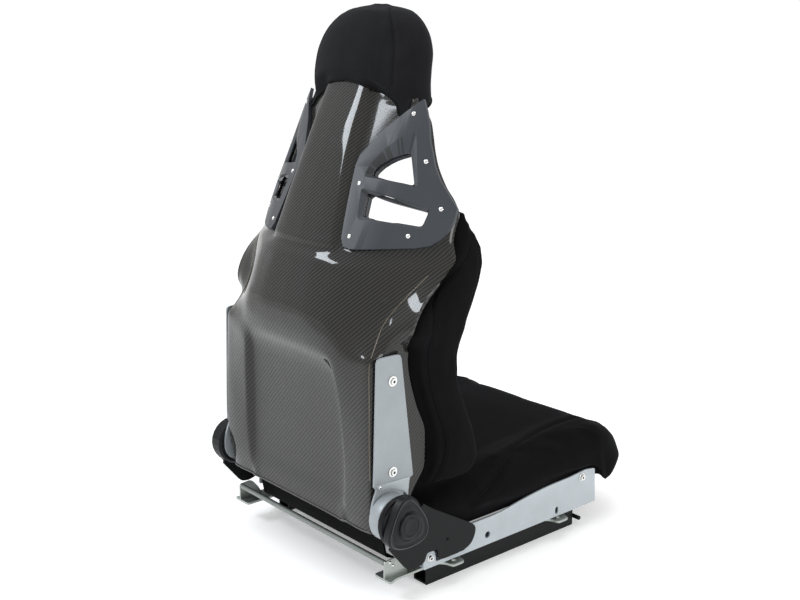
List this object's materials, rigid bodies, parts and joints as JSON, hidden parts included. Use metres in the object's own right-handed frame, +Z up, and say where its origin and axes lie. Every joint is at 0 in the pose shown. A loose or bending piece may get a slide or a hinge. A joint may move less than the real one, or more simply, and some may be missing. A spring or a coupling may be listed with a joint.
{
  "type": "racing seat",
  "caption": "Bucket seat with a carbon-fibre back shell, harness slots, a backrest that reclines on side hinges, and a base on slider rails with a release bar.",
  "frame": {"origin": "on the floor plane that the two floor rails stand on, in the seat's centre plane, 32 mm ahead of the rails' middle", "axes": "+Z up; the occupant faces -Y; +X is the occupant's left"},
  "size_m": [0.5192, 0.643, 0.9405],
  "materials": {
    "carbon_laminate": "clear-coated 2x2 twill carbon fibre, high gloss",
    "microsuede_cushion": "black microsuede over foam, soft nap",
    "bezel_plastic": "blue-grey black plastic, satin",
    "silver_painted_steel": "silver-grey paint, satin",
    "zinc_plated_steel": "bright zinc plating, slightly greenish",
    "black_painted_steel": "black paint, satin",
    "black_plastic": "black moulded plastic, fine grain",
    "stainless_fastener": "stainless steel, bright",
    "natural_plastic": "natural low-friction plastic"
  },
  "bodies": {
    "floor_rails": {"floor_rail_right": "black_painted_steel", "floor_rail_left": "black_painted_steel", "rail_carrier_right": "zinc_plated_steel", "rail_carrier_left": "zinc_plated_steel", "rear_cross_tube": "zinc_plated_steel", "bar_bearing_right": "black_plastic", "bar_bearing_left": "black_plastic"},
    "seat_base": {"slide_rail_right": "zinc_plated_steel", "slide_rail_left": "zinc_plated_steel", "slide_shoe_right_front": "natural_plastic", "slide_shoe_left_front": "natural_plastic", "slide_shoe_right_rear": "natural_plastic", "slide_shoe_left_rear": "natural_plastic", "side_plate_right": "silver_painted_steel", "side_plate_left": "silver_painted_steel", "latch_rack_right": "zinc_plated_steel", "latch_rack_left": "zinc_plated_steel", "recliner_bracket_right": "black_painted_steel", "recliner_bracket_left": "black_painted_steel", "recliner_disc_right": "black_painted_steel", "recliner_disc_left": "black_painted_steel", "recliner_cover_right": "black_plastic", "recliner_cover_left": "black_plastic", "seat_pan": "carbon_laminate", "front_cross_member": "black_painted_steel", "seat_cushion": "microsuede_cushion", "lower_rear_cover": "black_plastic", "side_plate_bolt_right": "stainless_fastener", "side_plate_bolt_left": "stainless_fastener", "bracket_bolt_right": "stainless_fastener", "bracket_bolt_left": "stainless_fastener"},
    "backrest": {"back_shell": "carbon_laminate", "harness_bezel_right": "bezel_plastic", "harness_bezel_left": "bezel_plastic", "harness_trim_right_upper": "bezel_plastic", "harness_trim_left_upper": "bezel_plastic", "harness_trim_right_lower": "bezel_plastic", "harness_trim_left_lower": "bezel_plastic", "head_pad": "microsuede_cushion", "backrest_pad": "microsuede_cushion", "shoulder_pad_right": "microsuede_cushion", "shoulder_pad_left": "microsuede_cushion", "back_bolster_right": "microsuede_cushion", "back_bolster_left": "microsuede_cushion", "recliner_arm_right": "silver_painted_steel", "recliner_arm_left": "silver_painted_steel", "arm_bolt_right_upper": "stainless_fastener", "arm_bolt_left_upper": "stainless_fastener", "arm_bolt_right_lower": "stainless_fastener", "arm_bolt_left_lower": "stainless_fastener"},
    "recliner_drive": {"handwheel": "black_plastic", "handwheel_cap": "black_plastic", "recliner_cross_shaft": "zinc_plated_steel"},
    "release_lever": {"release_bar": "black_painted_steel", "latch_pawl_right": "zinc_plated_steel", "latch_pawl_left": "zinc_plated_steel"}
  },
  "joints": [
    {"name": "seat_slide", "type": "slide", "parent": "floor_rails", "child": "seat_base", "axis": [0, -1, 0], "range_m": [0, 0.16]},
    {"name": "backrest_recline", "type": "hinge", "parent": "seat_base", "child": "backrest", "pos_m": [0, 0.3, 0.153], "axis": [-1, 0, 0], "range_deg": [0, 50]},
    {"name": "recliner_drive_turn", "type": "hinge", "parent": "seat_base", "child": "recliner_drive", "pos_m": [0, 0.3, 0.153], "axis": [-1, 0, 0], "range_deg": [-10, 1510]},
    {"name": "release_bar_lift", "type": "hinge", "parent": "floor_rails", "child": "release_lever", "pos_m": [0, -0.158, 0.0135], "axis": [-1, 0, 0], "range_deg": [0, 10], "stiffness_Nm_per_rad": 1.5, "springref_deg": -11.46}
  ],
  "couplings": [
    {"joint": "recliner_drive_turn", "follows": "backrest_recline", "ratio": 30}
  ]
}
